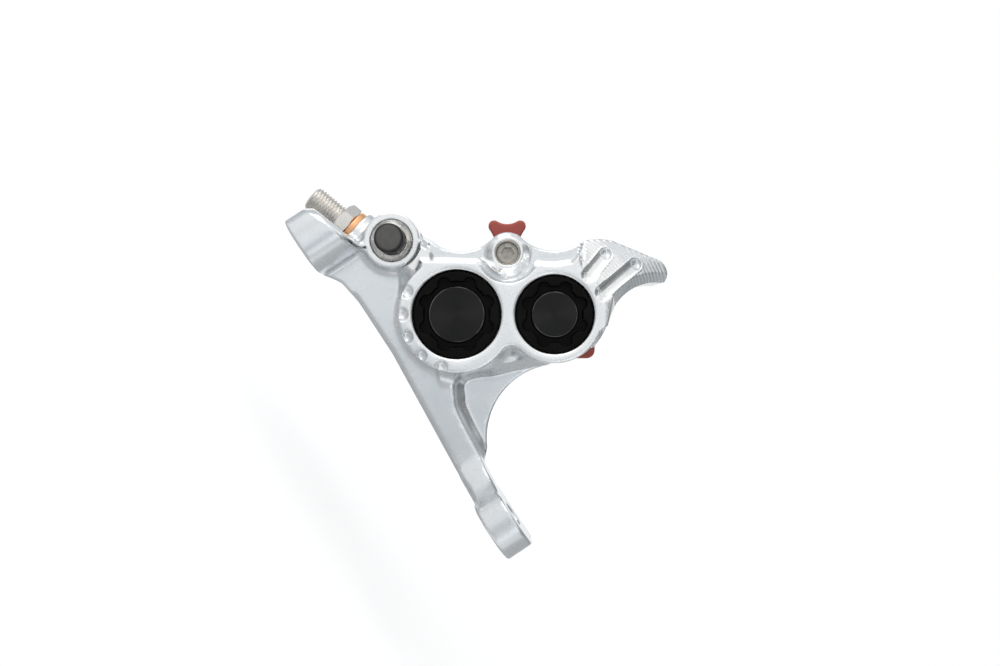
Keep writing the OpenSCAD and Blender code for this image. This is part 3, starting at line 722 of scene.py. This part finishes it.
for material, names in FINISHES:
    for name in names:
        nodes[name].data.materials.clear()
        nodes[name].data.materials.append(material)
for name, width in BEVELLED.items():
    bevel = nodes[name].modifiers.new("broken_edges", "BEVEL")
    bevel.width = width * MM
    bevel.segments = 2
    bevel.limit_method = "ANGLE"
    bevel.angle_limit = math.radians(40)


# Camera, light and floor

# The camera stands square to the rotor plane, rolled so that the bore line is level.
CAMERA_AT = (-1.17, -3.80, 255.0)
FOCAL_PIXELS = 1155.4
FRAME_WIDTH = 1000
SENSOR = 36.0
FLOOR_Z = -0.03
FLOOR_HALF = 40.0
FLOOR_PAINT = (0.72, 0.72, 0.72, 1)
# What the camera sees on top of the paint's own light, near the part and far from it, and those distances
FLOOR_LIFT, FLOOR_LIFT_FAR = 0.5, 0.64
FLOOR_NEAR, FLOOR_FAR = 0.15, 0.9
# The paint's own light, which reflections of the floor are spared
FLOOR_OWN = 0.58
# A soft lamp low and right of the lens: its direction, the cosines of its rim and what it adds
GLOW = (0.259, -0.392, 0.883)
GLOW_RIM = (0.955, 0.99)
GLOW_GAIN = 0.85
# A tall strip lamp out to the right: its place and half width along u, and what it adds
STRIP_U, STRIP_HALF, STRIP_GAIN = 0.8, 0.07, 1.0
# A softbox over the part, placed in the head frame in mm
SOFTBOX_AT, SOFTBOX_SIZE, SOFTBOX_POWER = (-40, 420, 160), (600, 300), 0.55


def make_camera():
    """The camera at the photo's place, square to the rotor plane."""
    data = bpy.data.cameras.new("camera")
    data.sensor_width = SENSOR
    data.lens = FOCAL_PIXELS * SENSOR / FRAME_WIDTH
    data.clip_start, data.clip_end = 0.01, 200
    camera = bpy.data.objects.new("camera", data)
    bpy.context.scene.collection.objects.link(camera)
    camera.matrix_world = HEAD_TO_ROW @ Matrix.Translation(Vector(CAMERA_AT) * MM)
    bpy.context.scene.camera = camera


def grey(level, cool=0.0):
    """A grey, turned towards blue by a small share."""
    return (level * (1 - cool), level, level * (1 + 0.6 * cool))


def tent(tree, way):
    """Light from a direction.

    In front it is bright above the lens, grey below it with a bright band low down, and dim to both sides but for
    a strip on the right. Past the part it is dark, and white straight behind.
    """

    def along(u, v, w):
        """How far the direction runs along a head-frame one."""
        return vector_node(tree, "DOT_PRODUCT", way, tuple(head_direction(u, v, w)), "Value")

    up = along(0, 1, 0)
    rise = remap(tree, up, -1, 1, 0, 1)
    front = ramp(tree, rise, (0.0, grey(0.45)), (0.05, grey(0.45)), (0.12, grey(1.25)), (0.2, grey(0.46, 0.06)),
                 (0.38, grey(0.48, 0.07)),
                 (0.46, grey(0.70, 0.06)), (0.5, grey(0.88, 0.04)), (0.54, grey(1.04, 0.02)), (0.59, grey(1.02)),
                 (0.72, grey(0.84)), (0.85, grey(0.98)), (1.0, grey(0.95)))
    lifted = math_node(tree, "MULTIPLY", math_node(tree, "MAXIMUM", up, 0.0), 0.5)
    aside = math_node(tree, "SUBTRACT", math_node(tree, "ABSOLUTE", along(1, 0, 0)), lifted)
    dim = remap(tree, aside, 0.3, 0.75, 1.0, 0.28, "SMOOTHSTEP")
    front = vector_node(tree, "SCALE", front, dim)
    off = math_node(tree, "ABSOLUTE", math_node(tree, "SUBTRACT", along(1, 0, 0), STRIP_U))
    inside = math_node(tree, "SUBTRACT", STRIP_HALF, off)
    strip = remap(tree, inside, 0, STRIP_HALF, 0, STRIP_GAIN, "SMOOTHSTEP")
    front = vector_node(tree, "ADD", front, strip)
    glow = remap(tree, along(*GLOW), *GLOW_RIM, 0, GLOW_GAIN, "SMOOTHSTEP")
    front = vector_node(tree, "ADD", front, glow)
    away = remap(tree, along(0, 0, -1), -1, 1, 0, 1)
    behind = ramp(tree, away, (0.5, grey(0.4, 0.06)), (0.86, grey(0.36, 0.05)), (0.935, grey(1.0)))
    gain = remap(tree, up, 0.0, 0.8, 1.0, 1.7)
    behind = vector_node(tree, "SCALE", behind, gain)
    share = remap(tree, away, 0.5, 0.68, 0, 1, "SMOOTHSTEP")
    return mixed(tree, share, front, behind)


def make_floor():
    """White paper that keeps the part's shadow; reflections see it as the tent's lower half."""
    mesh = bpy.data.meshes.new("floor")
    h = FLOOR_HALF
    mesh.from_pydata([(-h, -h, FLOOR_Z), (h, -h, FLOOR_Z), (h, h, FLOOR_Z), (-h, h, FLOOR_Z)], [], [(0, 1, 2, 3)])
    floor = bpy.data.objects.new("floor", mesh)
    bpy.context.scene.collection.objects.link(floor)
    material = bpy.data.materials.new("floor")
    material.use_nodes = True
    material.cycles.emission_sampling = "NONE"
    tree = material.node_tree
    tree.nodes.clear()
    path = add_node(tree, "ShaderNodeLightPath").outputs
    direct = math_node(tree, "MAXIMUM", path["Is Camera Ray"], path["Is Transmission Ray"])
    paint = add_node(tree, "ShaderNodeBsdfDiffuse", {"Color": FLOOR_PAINT}).outputs[0]
    part = tuple(HEAD_TO_ROW @ Vector((0, 0, 0)))
    out = vector_node(tree, "SUBTRACT", object_place(tree), part)
    rest = vector_node(tree, "SUBTRACT", tent(tree, vector_node(tree, "NORMALIZE", out)), (FLOOR_OWN,) * 3)
    rest = vector_node(tree, "MAXIMUM", rest, (0, 0, 0))
    mirrored = add_node(tree, "ShaderNodeEmission", {"Color": rest, "Strength": path["Is Glossy Ray"]}).outputs[0]
    far = vector_node(tree, "LENGTH", out, output="Value")
    lift = remap(tree, far, FLOOR_NEAR, FLOOR_FAR, FLOOR_LIFT, FLOOR_LIFT_FAR)
    shown = add_node(tree, "ShaderNodeEmission", {
        "Color": (1, 1, 1, 1), "Strength": math_node(tree, "MULTIPLY", direct, lift)}).outputs[0]
    both = add_node(tree, "ShaderNodeAddShader", {0: paint, 1: shown}).outputs[0]
    both = add_node(tree, "ShaderNodeAddShader", {0: both, 1: mirrored}).outputs[0]
    add_node(tree, "ShaderNodeOutputMaterial", {"Surface": both})
    mesh.materials.append(material)


def make_world():
    """The tent all round, plain white where the camera looks past the part."""
    world = bpy.data.worlds.new("studio")
    bpy.context.scene.world = world
    world.use_nodes = True
    tree = world.node_tree
    tree.nodes.clear()
    path = add_node(tree, "ShaderNodeLightPath").outputs
    way = add_node(tree, "ShaderNodeTexCoord").outputs["Generated"]
    colour = mixed(tree, path["Is Camera Ray"], tent(tree, way), (1, 1, 1, 1))
    light = add_node(tree, "ShaderNodeBackground", {"Color": colour}).outputs[0]
    add_node(tree, "ShaderNodeOutputWorld", {"Surface": light})


def make_softbox(name, at, size, power):
    """A rectangular lamp at a head-frame place in mm, facing the part."""
    data = bpy.data.lights.new(name, "AREA")
    data.shape = "RECTANGLE"
    data.size, data.size_y = (s * MM for s in size)
    data.energy = power
    lamp = bpy.data.objects.new(name, data)
    bpy.context.scene.collection.objects.link(lamp)
    place = HEAD_TO_ROW @ (Vector(at) * MM)
    aim = HEAD_TO_ROW @ Vector((0, 0, 5 * MM))
    lamp.location = place
    lamp.rotation_euler = (aim - place).to_track_quat("-Z", "Y").to_euler()


make_camera()
make_floor()
make_world()
make_softbox("softbox_top", SOFTBOX_AT, SOFTBOX_SIZE, SOFTBOX_POWER)
bpy.context.scene.view_settings.view_transform = "Standard"
